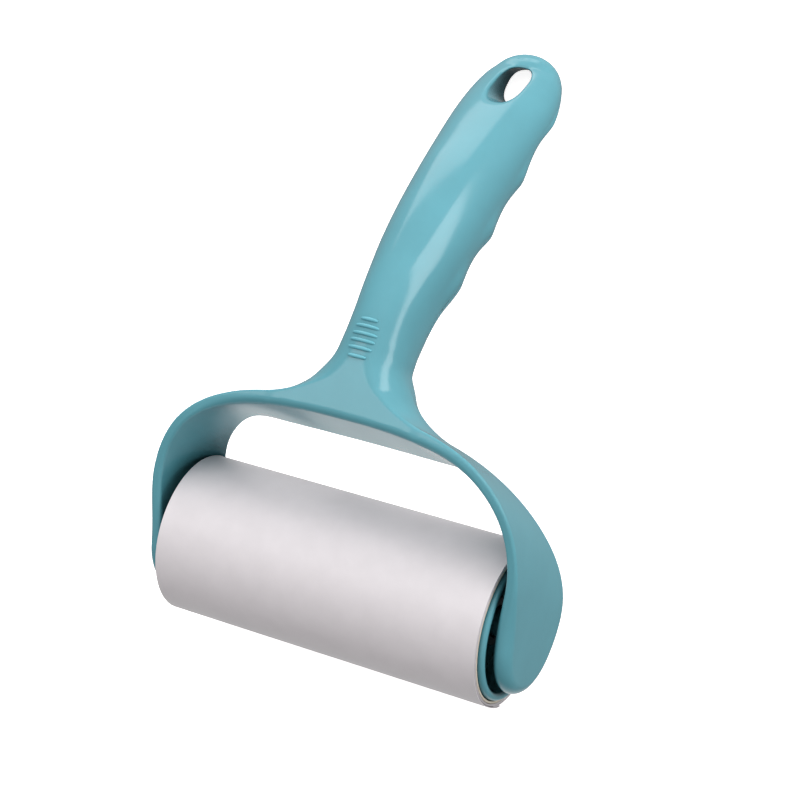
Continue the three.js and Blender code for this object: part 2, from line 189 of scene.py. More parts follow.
# Finger grooves and thumb ribs
RIDGES = 4
RIDGE_PITCH = 17.8
RIDGE_FROM_TIP = 19.3
GROOVE_DEPTH = 2.3
GROOVE_AT_SIDE = 0.5
GROOVE_ROUNDS = 4
RIDGE_SOFTNESS = 0.15
RIDGE_FADE = 9.0
SIDE_SWELL = 0.6
SIDE_DEPTH = 0.7
SIDE_SHARE = 0.35
RIB_PITCH = 1.7
RIB_START = 14.7
RIB_RADIUS = 0.55
RIB_TAPER = 0.4
RIB_ROWS = 33
RIB_SIDES = 16
RIB_LENGTHS = (5.4, 7.1, 7.5, 7.5, 7.0, 5.1)

# Hanging hole
HOLE_PLACE = (HANDLE_TIP - 11.5, 8.67)
HOLE_HALF_LENGTH = 5.5
HOLE_FRONT_WIDTH = 4.7
HOLE_REAR_WIDTH = 5.7
HOLE_HALF_DEPTH = 7.2
HOLE_POWER = 2.6
HOLE_TILT = np.radians(13)
HOLE_SLOPES = (np.tan(np.radians(-27.6)), np.tan(np.radians(-52.8)))

# Hollow grip and its cover
GRIP_WALL = 2.4
COVER_START = HANDLE_START + 28.5
COVER_END = HANDLE_TIP - 24.5
COVER_MIDDLE = (COVER_START + COVER_END) / 2
COVER_HALF = (COVER_END - COVER_START) / 2
SEAM_SHARE = 0.47
SEAM_GAP = 0.3
SEAM_EDGE = 0.4
SEAT_EDGE = 0.25
COVER_EDGE = 0.3
HOLLOW_EDGE = 0.5
CROSS_RIBS = 3
RIB_WALL = 1.6
PEG_RADIUS = 1.4
PEG_RISE = 4.4
PEG_BOSS_WALL = 1.5
PEG_EDGE = 0.4
PEG_ROOT = 0.5

# Meshing
FAR = 1e3
MARGIN_CELLS = 2
BLOCK_CELLS = 24
BLOCK_REACH = 1.5
LEAST_STEEPNESS = 0.05
LONGEST_MOVE = 0.4
EVENING_SHARE = 0.6
EVENING_ROUNDS = 3
CORNER_SHARE = 0.45
CREASE = 0.6

# Painted shade of the plastic where other surfaces stand close: darker colour and less gloss, in
# metres and shares
CAVITY_SAMPLES = 6
CAVITY_REACH = 0.014
CAVITY_CLOSED = 0.25
CAVITY_OPEN = 0.7
PAINTED_CAVITY_SHADE = 0.15
OPEN_GLOSS = 0.5

# Stage, in metres
BRIGHT_SIDE = (0.33, 0.66, 0.67)
BOUNCE_SIDE = (-0.35, -0.5, -0.8)
BOUNCE_START = 0.76
LIT_PLACE = (0, 0.07, 0.04)
# Name, direction, distance, size, direction of the first side, and whether it shows in the gloss
LIGHTS = (
    ("overhead", (-0.1, 0.4, 0.9), 1.25, (1.4, 1.4), (1, 0, 0), False),
    ("back", (0, 1, 0.35), 1.2, (1.4, 0.7), (1, 0, 0), False),
    ("side", (1, 0.1, 0.35), 1.2, (1.2, 0.7), (0, 1, 0), False),
    ("top", (-0.45, 0.07, 0.89), 1, (0.35, 0.35), (1, 0, 0), True),
    ("strip", (0.76, 0.57, 0.3), 0.6, (0.6, 0.22), (0.667, -0.578, -0.467), True),
    ("rear", (-0.42, 0.88, 0.12), 0.7, (0.5, 0.3), (0.84, 0.5, 0), True),
)

# Camera: angles in degrees, lengths in millimetres
CAMERA_AZIMUTH = 25.242
CAMERA_ELEVATION = 4.0
CAMERA_ROLL = 16.302
CAMERA_DISTANCE = 575.25
CAMERA_ASIDE = 13.71
CAMERA_UP = 49.25
SENSOR_WIDTH = 36
CLIP_START = 0.01


# Shape functions


def eased(value, low, high):
    """A share that goes smoothly from 0 at the low value to 1 at the high one."""
    share = np.clip((value - low) / (high - low), 0, 1)
    return share * share * (3 - 2 * share)


def smooth_column(column, shares, power=1):
    """A table's column as one smooth curve: cubic pieces whose slope at each row is the mean of
    the slopes beside it, each weighted by the other's length. With a power of 2 the curve goes
    through the squares, so that the sizes close round at the tip."""
    at, value = HANDLE_SHARES[:, 0], HANDLE_SHARES[:, column] ** power
    step = np.diff(at)
    rise = np.diff(value) / step
    inner = (rise[1:] * step[:-1] + rise[:-1] * step[1:]) / (step[1:] + step[:-1])
    slope = np.concatenate(([rise[0]], inner, [rise[-1]]))
    i = np.clip(np.searchsorted(at, shares, side="right") - 1, 0, len(step) - 1)
    t = np.clip((shares - at[i]) / step[i], 0, 1)
    ends = value[i] * (2 * t**3 - 3 * t**2 + 1) + value[i + 1] * (3 * t**2 - 2 * t**3)
    curve = ends + step[i] * (slope[i] * (t**3 - 2 * t**2 + t) + slope[i + 1] * (t**3 - t**2))
    return np.maximum(curve, 0) ** (1 / power)


def handle_table():
    """The handle's sizes at places that stand closer toward its tip: height of its middle line,
    the line's climb, its slope eased in from the neck and its bend, half width, depth over and
    under the line, depth of the finger grooves, and how far the sides follow the ridges."""
    along = HANDLE_TIP - HANDLE_REACH * np.linspace(1, 0, TABLE_PLACES) ** 2
    share = (along - HANDLE_START) / HANDLE_REACH
    height = TAIL_HEIGHT + (NECK_HEIGHT - TAIL_HEIGHT) * smooth_column(1, share)
    climb = np.gradient(height, along)
    slope = np.arctan(climb) * np.clip((along - HANDLE_START) / UPRIGHT_LENGTH, 0, 1)
    last_ridge = HANDLE_TIP - RIDGE_FROM_TIP
    first_ridge = last_ridge - (RIDGES - 1) * RIDGE_PITCH
    from_last = (last_ridge - along) / RIDGE_PITCH
    wave = np.hypot(np.sin(np.pi * from_last), RIDGE_SOFTNESS) - RIDGE_SOFTNESS
    scoop = np.where((from_last > 0) & (from_last < RIDGES - 1), wave, 0)
    scoop = scoop / (np.hypot(1, RIDGE_SOFTNESS) - RIDGE_SOFTNESS)
    swell = eased(along, first_ridge - RIDGE_FADE, first_ridge)
    swell = swell * (1 - eased(along, last_ridge, last_ridge + RIDGE_FADE))
    return {
        "along": along,
        "height": height,
        "climb": climb,
        "slope": slope,
        "bend": np.gradient(slope, along),
        "half_width": GRIP_HALF_WIDTH * smooth_column(2, share, 2),
        "over": GRIP_OVER * smooth_column(3, share, 2),
        "under": GRIP_UNDER * smooth_column(4, share, 2),
        "groove": GROOVE_DEPTH * scoop,
        "side": SIDE_SWELL * swell - SIDE_DEPTH * scoop,
    }


TABLE = handle_table()


def at_handle(name, along):
    """The handle table's value of that name at a place along the handle."""
    return np.interp(along, TABLE["along"], TABLE[name])


def corner(a, b, radius):
    """Where two distances both hold, with the corner between their surfaces rounded: the length
    of what each is over minus the radius, less the radius."""
    u, v = np.maximum(a + radius, 0), np.maximum(b + radius, 0)
    return np.minimum(np.maximum(a, b), -radius) + np.sqrt(u * u + v * v)


def joined(a, b, radius):
    """Where either of two distances holds, with a fillet of that radius between them."""
    return -corner(-a, -b, radius)


def soft_least(a, b, width):
    """The lower of two heights, with the corner between them rounded over that width."""
    h = np.clip(0.5 + (b - a) / (2 * width), 0, 1)
    return b + (a - b) * h - width * h * (1 - h)


def oval(across, along, half_width, half_length, power):
    """Distance to a superellipse: its radius share less one, over that share's slope."""
    u, v = np.abs(across) / half_width, np.abs(along) / half_length
    r = (u**power + v**power + TINY) ** (1 / power)
    slope = np.hypot(u ** (power - 1) / half_width, v ** (power - 1) / half_length)
    return (r - 1) / np.maximum(slope * r ** (1 - power), SMALL)


def handle_place(y, z):
    """Place along the handle's middle line, distance out of the line, and distance past the
    line's ends, found by stepping along the line until the point stands square to it."""
    along = np.clip(y + 0 * z, HANDLE_START, HANDLE_TIP)
    for step in range(LINE_STEPS + 1):
        slope, height = at_handle("slope", along), at_handle("height", along)
        cos, sin = np.cos(slope), np.sin(slope)
        past = (y - along) * cos + (z - height) * sin
        out = (z - height) * cos - (y - along) * sin
        if step < LINE_STEPS:
            pace = cos + at_handle("climb", along) * sin - at_handle("bend", along) * out
            along = np.clip(along + past / np.maximum(pace, LEAST_PACE), HANDLE_START, HANDLE_TIP)
    past = np.where((along > HANDLE_START) & (along < HANDLE_TIP), -1.0, np.abs(past))
    return along, out, past


def handle_skin(x, along, out, past):
    """Distance to the handle's skin: a superellipse of the table's sizes at each place, fuller
    below its middle line, where the flare is slimmer, the finger grooves are scooped, deepest at
    the bottom, and the sides follow the ridges."""
    groove, under = at_handle("groove", along), at_handle("under", along)
    rise = np.clip(-out / under, 0, 1)
    for _ in range(GROOVE_ROUNDS):
        share = GROOVE_AT_SIDE + (1 - GROOVE_AT_SIDE) * rise
        low = np.maximum(under - groove * share, LEAST_SIZE)
        rise = np.clip(-out / low, 0, 1)
    half_width = at_handle("half_width", along)
    half_width = half_width + at_handle("side", along) * eased(rise, 0, SIDE_SHARE)
    slim = np.clip((HANDLE_START + FLARE_LENGTH - along) / FLARE_LENGTH, 0, 1) * FLARE_SLIM
    width = np.maximum(half_width - rise * slim * (half_width - NECK_HALF_WIDTH), LEAST_SIZE)
    depth = np.maximum(np.where(out > 0, at_handle("over", along), low), LEAST_SIZE)
    power = np.where(out > 0, OVER_POWER, UNDER_POWER)
    return np.maximum(oval(x, out, width, depth, power), past)


def arch_heights(x, y):
    """Heights of the arch's front and rear surfaces over a place seen from above. The rear one
    bends up from under the paddle along a parabola, and then runs straight."""
    line = PADDLE_HEIGHT + PADDLE_RADIUS / np.cos(FRONT_TILT) + y * np.tan(FRONT_TILT)
    front = soft_least(line, TOP_HEIGHT, TOP_SOFTENING)
    spread = np.clip((np.abs(x) - NECK_CORE) / NECK_SPREAD, 0, 1)
    depth = ARM_DEPTH + (NECK_DEPTH - ARM_DEPTH) * (0.5 + 0.5 * np.cos(np.pi * spread))
    bent = np.clip(y, 0, REAR_BEND * np.tan(REAR_TILT))
    rise = bent**2 / (2 * REAR_BEND) + np.maximum(y - bent, 0) * np.tan(REAR_TILT)
    rear = PADDLE_HEIGHT - PADDLE_BELOW + rise
    return front, soft_least(rear, front - depth, REAR_SOFTENING)


def side_outline(x, y, z):
    """Distance to the arch's outline seen from the side: the paddle's round end, flatter below
    its middle, and the front and rear surfaces that run on from it."""
    up = z - PADDLE_HEIGHT
    front_height, rear_height = arch_heights(x, y)
    front = (z - front_height) * np.cos(FRONT_TILT)
    round_end = np.hypot(y, up) - PADDLE_RADIUS
    front = np.where(y < -PADDLE_RADIUS * np.sin(FRONT_TILT), round_end, front)
    steepness = np.clip(y / REAR_BEND, 0, np.tan(REAR_TILT))
    rear = (rear_height - z) / np.sqrt(1 + steepness**2)
    rear = np.where(y < 0, oval(y, up, PADDLE_RADIUS, PADDLE_BELOW, 2), rear)
    return np.where(y < 0, np.where(up > 0, front, rear), np.maximum(front, rear))


def hanging_hole(x, y, z):
    """Distance to the leaning hole's wall: an oval that narrows from its rear to its front."""
    dy, dz = y - HOLE_PLACE[0], z - HOLE_PLACE[1]
    along = dy * np.cos(HOLE_TILT) + dz * np.sin(HOLE_TILT)
    out = dz * np.cos(HOLE_TILT) - dy * np.sin(HOLE_TILT)
    rear = along * HOLE_SLOPES[0] - HOLE_HALF_DEPTH
    front = along * HOLE_SLOPES[1] + HOLE_HALF_DEPTH
    share = np.clip((out - rear) / np.maximum(front - rear, 1), 0, 1)
    width = HOLE_REAR_WIDTH + (HOLE_FRONT_WIDTH - HOLE_REAR_WIDTH) * share
    return oval(x, along, width, HOLE_HALF_LENGTH, HOLE_POWER)


def arch_plan(x, y, half_width, reach, power):
    """Distance to one of the arch's outlines seen from above: half a superellipse, and straight
    along the arms."""
    bow = oval(x, np.maximum(y - ARCH_START, 0), half_width, reach - ARCH_START, power)
    return np.where(y > ARCH_START, bow, np.abs(x) - half_width)


def rib_places():
    """Places of the cross ribs and pegs along the handle."""
    return COVER_START + 2 * COVER_HALF * np.arange(1, CROSS_RIBS + 1) / (CROSS_RIBS + 1)


def seam_height(along):
    """Height of the seam between the grip and its cover, out of the handle's middle line."""
    return -SEAM_SHARE * at_handle("under", along)


def grip_zone(along, out, gap):
    """Distance to the space under the seam that the grip's cover fills, less a gap."""
    ends = np.abs(along - COVER_MIDDLE) - COVER_HALF + gap
    return corner(ends, out - seam_height(along) + gap, SEAM_EDGE)


def moulding(x, y, z, look):
    """Distance to the handle's one moulding: arch and grip joined by a fillet, cut by the top
    flat, the window, the hole, the cover's seat and the hollow grip. The arms' round ends are
    thicker inside and have rounder outer edges, and the bridge grows thicker toward below."""
    outer = arch_plan(x, y, ARM_OUTER, BRIDGE_OUTER, OUTER_POWER)
    front_height, rear_height = arch_heights(x, y)
    lean_share = np.clip((front_height - z) / (front_height - rear_height), 0, 1)
    leaning = y + BRIDGE_LEAN * np.exp(-np.abs(x / LEAN_SPREAD) ** LEAN_POWER) * lean_share
    at_paddle = 1 - eased(y, PADDLE_LOW, PADDLE_HIGH)
    half = ARM_INNER - look["paddle_swell"] * at_paddle
    inner = arch_plan(x, leaning, half, BRIDGE_INNER, INNER_POWER)
    edge = look["arm_edge"] + (look["paddle_edge"] - look["arm_edge"]) * at_paddle
    at_bridge = eased(y, ARM_HIGH, ARM_HIGH + BRIDGE_FADE)
    inner_edge = look["arm_edge"] + (look["bridge_edge"] - look["arm_edge"]) * at_bridge
    inner_edge = inner_edge + look["arm_edge"] * at_paddle
    body = corner(outer, side_outline(x, y, z), edge)
    along, out, past = handle_place(y, z)
    skin = handle_skin(x, along, out, past)
    body = joined(body, skin, look["fillet"])
    body = corner(body, z - TOP_HEIGHT, look["flat_edge"])
    body = corner(body, -inner, inner_edge)
    turn = np.hypot(y, z - ROLL_RADIUS)
    stub = corner(turn - STUB_RADIUS, STUB_END - np.abs(x), STUB_CHAMFER)
    stub = np.maximum(stub, np.abs(x) - (ARM_INNER + ARM_OUTER) / 2)
    body = joined(body, stub, STUB_ROOT)
    body = corner(body, -hanging_hole(x, y, z), look["lip"])
    return hollowed(body, x, along, out, skin)


def hollowed(body, x, along, out, skin):
    """The moulding with the cover's seat and the stiffened hollow of its grip cut out."""
    seam = seam_height(along)
    cell = np.maximum(skin + GRIP_WALL, np.abs(along - COVER_MIDDLE) - COVER_HALF + GRIP_WALL)
    stiff = np.abs(x) - RIB_WALL / 2
    socket = np.full_like(x + out, FAR)
    for place in rib_places():
        stiff = np.minimum(stiff, np.abs(along - place) - RIB_WALL / 2)
        from_peg = np.hypot(x, along - place)
        stiff = np.minimum(stiff, from_peg - PEG_RADIUS - SEAM_GAP - PEG_BOSS_WALL)
        hole = np.maximum(from_peg - PEG_RADIUS - SEAM_GAP, out - seam - PEG_RISE - SEAM_GAP)
        socket = np.minimum(socket, hole)
    cell = corner(cell, -stiff, HOLLOW_EDGE)
    seated = corner(body, -grip_zone(along, out, 0), SEAT_EDGE)
    return np.maximum(seated, np.maximum(-cell, -socket))


def cover(x, y, z):
    """Distance to the grip's cover: the skin under the seam, hollow, with its pegs."""
    along, out, past = handle_place(y, z)
    skin = handle_skin(x, along, out, past)
    shell = corner(skin, grip_zone(along, out, SEAM_GAP), SEAT_EDGE)
    shell = corner(shell, -(skin + GRIP_WALL), COVER_EDGE)
    seam = seam_height(along)
    for place in rib_places():
        peg = corner(np.hypot(x, along - place) - PEG_RADIUS, out - seam - PEG_RISE, PEG_EDGE)
        shell = joined(shell, np.maximum(peg, skin + GRIP_WALL / 2), PEG_ROOT)
    return shell


# Meshes


def axis_points(low, high, cell):
    """Grid places from a little under low to a little over high."""
    count = int(np.ceil((high - low) / cell)) + 2 * MARGIN_CELLS + 1
    return low - MARGIN_CELLS * cell + cell * np.arange(count)


def on_grid(field, x, y, z):
    """The field's values at all places of those three axes."""
    return field(x[:, None, None], y[None, :, None], z[None, None, :])


def sampled(field, axes):
    """The field on a grid. Blocks whose middle is far from the surface take its value alone."""
    starts = [np.arange(0, len(axis), BLOCK_CELLS) for axis in axes]
    half = BLOCK_CELLS // 2
    middles = [axis[np.minimum(start + half, len(axis) - 1)] for axis, start in zip(axes, starts)]
    far = on_grid(field, *middles)
    reach = BLOCK_CELLS * (axes[0][1] - axes[0][0]) * BLOCK_REACH
    values = np.empty([len(axis) for axis in axes], dtype=np.float32)
    for block in np.ndindex(far.shape):
        part = tuple(slice(s[n], s[n] + BLOCK_CELLS) for s, n in zip(starts, block))
        if abs(far[block]) > reach:
            values[part] = far[block]
        else:
            values[part] = on_grid(field, *(axis[cut] for axis, cut in zip(axes, part)))
    return values


def surface_net(values, axes):
    """Points and faces of the grid's zero surface: one point in each cell that the surface
    crosses, at the mean of the crossings on its edges, and one face over each crossed edge."""
    inside = values < 0
    core = np.zeros([n - 1 for n in values.shape], dtype=np.int8)
    steps = np.array([(a, b, c) for a in (0, 1) for b in (0, 1) for c in (0, 1)])
    for step in steps:
        core += inside[tuple(slice(s, n - 1 + s) for s, n in zip(step, values.shape))]
    cells = np.argwhere((core > 0) & (core < 8))
    index = np.full(core.shape, -1, dtype=np.int64)
    index[tuple(cells.T)] = np.arange(len(cells))
    total, count = np.zeros((len(cells), 3)), np.zeros(len(cells))
    for axis in range(3):
        for step in steps[steps[:, axis] == 0]:
            other = step.copy()
            other[axis] = 1
            low, high = values[tuple((cells + step).T)], values[tuple((cells + other).T)]
            crossed = (low < 0) != (high < 0)
            share = np.where(crossed, low / np.where(crossed, low - high, 1), 0)
            place = step + share[:, None] * (other - step)
            total += place * crossed[:, None]
            count += crossed
    cell = axes[0][1] - axes[0][0]
    points = np.array([axis[0] for axis in axes]) + cell * (cells + total / count[:, None])
    faces = []
    for axis in range(3):
        one, two = [n for n in range(3) if n != axis]
        crossed = np.argwhere(np.diff(inside, axis=axis))
        leaving = inside[tuple(crossed.T)]
        ring = []
        for back_one, back_two in ((0, 0), (1, 0), (1, 1), (0, 1)):
            at = crossed.copy()
            at[:, one] -= back_one
            at[:, two] -= back_two
            ring.append(index[tuple(at.T)])
        quads = np.stack(ring, axis=1)
        kept = leaving if axis != 1 else ~leaving
        faces.append(np.where(kept[:, None], quads, quads[:, ::-1]))
    return points, np.concatenate(faces)


def unit(vectors):
    """The vectors at a length of one."""
    return vectors / np.maximum(np.linalg.norm(vectors, axis=1, keepdims=True), TINY)


def field_slope(field, points, step=0.02):
    """The field's slope at each point, from its values a little to both sides."""
    rise = [field(*(points + shift).T) - field(*(points - shift).T) for shift in np.eye(3) * step]
    return np.stack(rise, axis=1) / (2 * step)


def onto_surface(field, points, rounds, step=0.01):
    """Points moved along the field's slope until its value there is zero, and the last slope."""
    for _ in range(rounds):
        here = field(*points.T)
        ahead = [field(*(points + shift).T) for shift in np.eye(3) * step]
        slope = (np.stack(ahead, axis=1) - here[:, None]) / step
        steep = np.maximum((slope**2).sum(axis=1), LEAST_STEEPNESS)
        move = slope * (here / steep)[:, None]
        length = np.linalg.norm(move, axis=1, keepdims=True)
        points = points - move * np.minimum(1, LONGEST_MOVE / np.maximum(length, TINY))
    return points, slope


def evened(points, faces, normals):
    """Points moved to the mean of their neighbours, but only along the surface."""
    total, count = np.zeros_like(points), np.zeros(len(points))
    for step in (1, 3):
        beside = points[np.roll(faces, step, axis=1).ravel()]
        for axis in range(3):
            total[:, axis] += np.bincount(faces.ravel(), beside[:, axis], len(points))
        count += np.bincount(faces.ravel(), minlength=len(points))
    move = total / count[:, None] - points
    along = move - normals * (move * normals).sum(axis=1, keepdims=True)
    return points + EVENING_SHARE * along


def field_mesh(field, low, high, cell):
    """Points, faces and normals of a field's surface, evened and moved onto it exactly."""
    axes = [axis_points(a, b, cell) for a, b in zip(low, high)]
    points, faces = surface_net(sampled(field, axes), axes)
    points, slope = onto_surface(field, points, rounds=2)
    for _ in range(EVENING_ROUNDS):
        points, slope = onto_surface(field, evened(points, faces, unit(slope)), rounds=1)
    points, _ = onto_surface(field, points, rounds=2)
    return points, faces, unit(field_slope(field, points))


def grid_faces(rows, columns, wrap_rows, wrap_columns):
    """Faces of a grid of points, which may close on itself either way."""
    r = np.arange(rows if wrap_rows else rows - 1)
    c = np.arange(columns if wrap_columns else columns - 1)
    r, c = np.meshgrid(r, c, indexing="ij")
    r2, c2 = (r + 1) % rows, (c + 1) % columns
    r, r2 = r * columns, r2 * columns
    return np.stack((r + c, r + c2, r2 + c2, r2 + c), axis=-1).reshape(-1, 4)


def rounded_outline(corners, radius, steps):
    """A closed outline whose corners are rounded with curves of the second degree: each starts
    and ends the same distance from its corner, and that distance fits the shorter side."""
    corners = np.array(corners, dtype=float)
    points = []
    for i, middle in enumerate(corners):
        before, after = corners[i - 1] - middle, corners[(i + 1) % len(corners)] - middle
        long_before, long_after = np.linalg.norm(before), np.linalg.norm(after)
        reach = min(radius, CORNER_SHARE * long_before, CORNER_SHARE * long_after)
        start, end = middle + before / long_before * reach, middle + after / long_after * reach
        t = np.linspace(0, 1, steps)[:, None]
        points.append((1 - t) ** 2 * start + 2 * t * (1 - t) * middle + t**2 * end)
    return np.concatenate(points)


def tube_outline(inner, outer, half, edge, steps):
    """The outline of a straight tube with rounded edges."""
    corners = ((inner, -half), (outer, -half), (outer, half), (inner, half))
    return rounded_outline(corners, edge, steps)


def turned(outline, segments, side=1):
    """Points and faces of an outline of (radius, place) turned about the roll's axis."""
    turn = np.linspace(0, 2 * np.pi, segments, endpoint=False)
    radius, place = outline[:, 0], outline[:, 1]
    x = np.broadcast_to(side * place[:, None], (len(outline), segments))
    y = radius[:, None] * np.cos(turn)
    z = radius[:, None] * np.sin(turn) + ROLL_RADIUS
    points = np.stack((x, y, z), axis=-1).reshape(-1, 3)
    return points, grid_faces(len(outline), segments, True, True)


def closed(sides, ends):
    """The side faces and the end faces of one body. The ends are turned over where they pass an
    edge the same way as the sides, because on a closed body each edge is passed once each way."""
    span = sides.max() + 1
    passed = [(faces * span + np.roll(faces, -1, axis=1)).ravel() for faces in (sides, ends)]
    return np.concatenate((sides, ends[:, ::-1] if np.isin(*passed).any() else ends))


def outward(points, faces):
    """The faces turned so that the closed body they bound has a positive volume."""
    a, b, c, d = (points[faces[:, n]] for n in range(4))
    volume = (np.cross(b - a, c - a) * a).sum() + (np.cross(c - a, d - a) * a).sum()
    return faces if volume > 0 else faces[:, ::-1]


def piece(name, points, faces, material, body, nodes=(), normals=None, crease=None):
    """A mesh object of those points and faces, in millimetres, that rides on a body."""
    mesh = bpy.data.meshes.new(name)
    faces = outward(points, np.asarray(faces))
    mesh.vertices.add(len(points))
    mesh.vertices.foreach_set("co", (points * MM).astype(np.float32).ravel())
    mesh.loops.add(faces.size)
    mesh.loops.foreach_set("vertex_index", faces.astype(np.int32).ravel())
    mesh.polygons.add(len(faces))
    mesh.polygons.foreach_set("loop_start", np.arange(0, faces.size, 4, dtype=np.int32))
    mesh.polygons.foreach_set("use_smooth", np.ones(len(faces), dtype=bool))
    mesh.update(calc_edges=True)
    if mesh.validate():
        raise RuntimeError(name + " holds faces that are not valid")
    if crease is not None:
        mesh.set_sharp_from_angle(angle=crease)
    if normals is not None:
        mesh.normals_split_custom_set_from_vertices(normals.astype(np.float32))
    mesh.materials.append(material)
    made = bpy.data.objects.new(name, mesh)
    bpy.context.scene.collection.objects.link(made)
    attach(made, body)
    if nodes:
        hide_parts(*nodes)
    return made


# Shapes of single pieces


def thumb_ribs():
    """Points and faces of the low ribs across the handle's top: each is a thin round bar along
    the skin that tapers toward its ends, and each end is closed by a strip of faces."""
    turn = np.linspace(-np.pi / 2, np.pi / 2, RIB_ROWS)[:, None]
    about = np.linspace(0, 2 * np.pi, RIB_SIDES, endpoint=False)[None, :]
    radius = RIB_RADIUS * np.maximum(np.cos(turn), SMALL) ** RIB_TAPER
    points = []
    for i, length in enumerate(RIB_LENGTHS):
        along = HANDLE_START + RIB_START + i * RIB_PITCH
        across = length / 2 * np.sin(turn)
        share = np.abs(across) / at_handle("half_width", along)
        out = at_handle("over", along) * (1 - share**OVER_POWER) ** (1 / OVER_POWER)
        slope = at_handle("slope", along)
        top = np.minimum(at_handle("height", along) + out * np.cos(slope), TOP_HEIGHT)
        y = along - out * np.sin(slope) + radius * np.cos(about)
        z = top + radius * np.sin(about)
        rib = np.stack((np.broadcast_to(across, y.shape), y, z), axis=-1)
        points.append(rib.reshape(-1, 3))
    half = np.arange(RIB_SIDES // 2 - 1)
    first = np.stack((half, half + 1, RIB_SIDES - 2 - half, RIB_SIDES - 1 - half), axis=1)
    last = first[:, ::-1] + (RIB_ROWS - 1) * RIB_SIDES
    faces = closed(grid_faces(RIB_ROWS, RIB_SIDES, False, True), np.concatenate((first, last)))
    starts = np.arange(len(points)) * RIB_ROWS * RIB_SIDES
    return np.concatenate(points), np.concatenate([faces + start for start in starts])


def cap_outline(edge):
    """The end cap's outline: a cup with a round rim, a shoulder, a skirt and a hub."""
    skirt_outer = DRUM_INNER - FIT_GAP
    skirt_inner = skirt_outer - SKIRT_WALL
    hub = BORE_RADIUS + HUB_WALL
    rim = RIM_WALL / 2
    turn = np.linspace(0, np.pi, RIM_STEPS)
    radius, place = DRUM_RADIUS - rim + rim * np.cos(turn), RIM_OUTER - rim + rim * np.sin(turn)
    round_rim = np.stack((radius, place), axis=1)
    corners = [
        (DRUM_RADIUS - RIM_WALL, FLOOR_FRONT), (hub, FLOOR_FRONT), (hub, FLOOR_FRONT + HUB_PROUD),
        (BORE_RADIUS, FLOOR_FRONT + HUB_PROUD), (BORE_RADIUS, FLOOR_BACK - HUB_TAIL),
        (hub, FLOOR_BACK - HUB_TAIL), (hub, FLOOR_BACK), (skirt_inner, FLOOR_BACK),
        (skirt_inner, SHOULDER - SKIRT_LENGTH), (skirt_outer, SHOULDER - SKIRT_LENGTH),
        (skirt_outer, SHOULDER), (DRUM_RADIUS, SHOULDER), tuple(round_rim[0]), tuple(round_rim[-1]),
    ]
    outline = rounded_outline(corners, edge, CAP_STEPS)
    return np.concatenate((outline[:-2 * CAP_STEPS], round_rim))


def wound_outline():
    """The wound sheets' outline: a thin tube whose ends show the edges of its turns."""
    share = np.linspace(0, 1, WOUND_TURNS)
    radius = WOUND_INNER + (WOUND_OUTER - WOUND_INNER) * share
    end = ROLL_LENGTH / 2 - TURN_STAGGER * (np.arange(WOUND_TURNS) % 2)
    right = np.stack((radius[::-1], end[::-1]), axis=1)
    left = np.stack((radius, -end), axis=1)
    return np.concatenate((left, right))


def top_sheet():
    """The top sheet: one turn of paper whose free edge laps over its start and stands off it in
    a slight wave."""
    start = SHEET_START - 2 * np.pi
    turn = np.linspace(start, start + SHEET_TURN, SHEET_PLACES)
    share = eased((turn - turn[-1] + LIFT_ANGLE) / LIFT_ANGLE, 0, 1)
    x = np.linspace(-ROLL_LENGTH / 2, ROLL_LENGTH / 2, SHEET_COLUMNS)
    wave = sum(high * np.sin(2 * np.pi * x / long + phase) for high, long, phase in EDGE_WAVES)
    lift = (SHEET_THICKNESS + PAPER_GAP + EDGE_LIFT) * share
    lift = lift[:, None] + share[:, None] * wave
    path = np.concatenate((np.arange(SHEET_PLACES), np.arange(SHEET_PLACES)[::-1]))
    radius = np.repeat((ROLL_RADIUS, SHEET_INNER), SHEET_PLACES)[:, None] + lift[path]
    y = radius * np.cos(turn[path])[:, None]
    z = radius * np.sin(turn[path])[:, None] + ROLL_RADIUS
    points = np.stack((np.broadcast_to(x, y.shape), y, z), axis=-1).reshape(-1, 3)
    rows, columns = y.shape
    step = np.arange(SHEET_PLACES - 1)
    ends = np.stack((step, step + 1, rows - 2 - step, rows - 1 - step), axis=1) * columns
    ends = np.concatenate((ends, ends[:, ::-1] + columns - 1))
    return points, closed(grid_faces(rows, columns, True, False), ends)


# Materials


def node_tree(name):
    """A new material, its node tree and its main shader."""
    material = bpy.data.materials.new(name)
    material.use_nodes = True
    tree = material.node_tree
    return material, tree, tree.nodes["Principled BSDF"]


def noise(tree, scale, detail, roughness):
    """Noise in the object's own space, with details at a fixed real size."""
    place = tree.nodes.new("ShaderNodeTexCoord")
    made = tree.nodes.new("ShaderNodeTexNoise")
    made.inputs["Scale"].default_value = scale
    made.inputs["Detail"].default_value = detail
    made.inputs["Roughness"].default_value = roughness
    tree.links.new(place.outputs["Object"], made.inputs["Vector"])
    return made.outputs["Fac"]


def shade(colour, factor):
    """A colour made lighter or darker."""
    return (colour[0] * factor, colour[1] * factor, colour[2] * factor, 1)


def tones(tree, source, colour, factors, places=(0.3, 0.7)):
    """The colour made darker where a value is at the first place or under, and paler where it is
    at the second or over, by those two factors."""
    made = tree.nodes.new("ShaderNodeValToRGB")
    tree.links.new(source, made.inputs["Fac"])
    for stop, place, factor in zip(made.color_ramp.elements, places, factors):
        stop.position = place
        stop.color = shade(colour, factor)
    return made.outputs["Color"]


def spread_of(tree, source, low, high, start=0, end=1):
    """A value from start to end spread between low and high."""
    made = tree.nodes.new("ShaderNodeMapRange")
    for name, value in (("From Min", start), ("From Max", end), ("To Min", low), ("To Max", high)):
        made.inputs[name].default_value = value
    tree.links.new(source, made.inputs["Value"])
    return made.outputs["Result"]


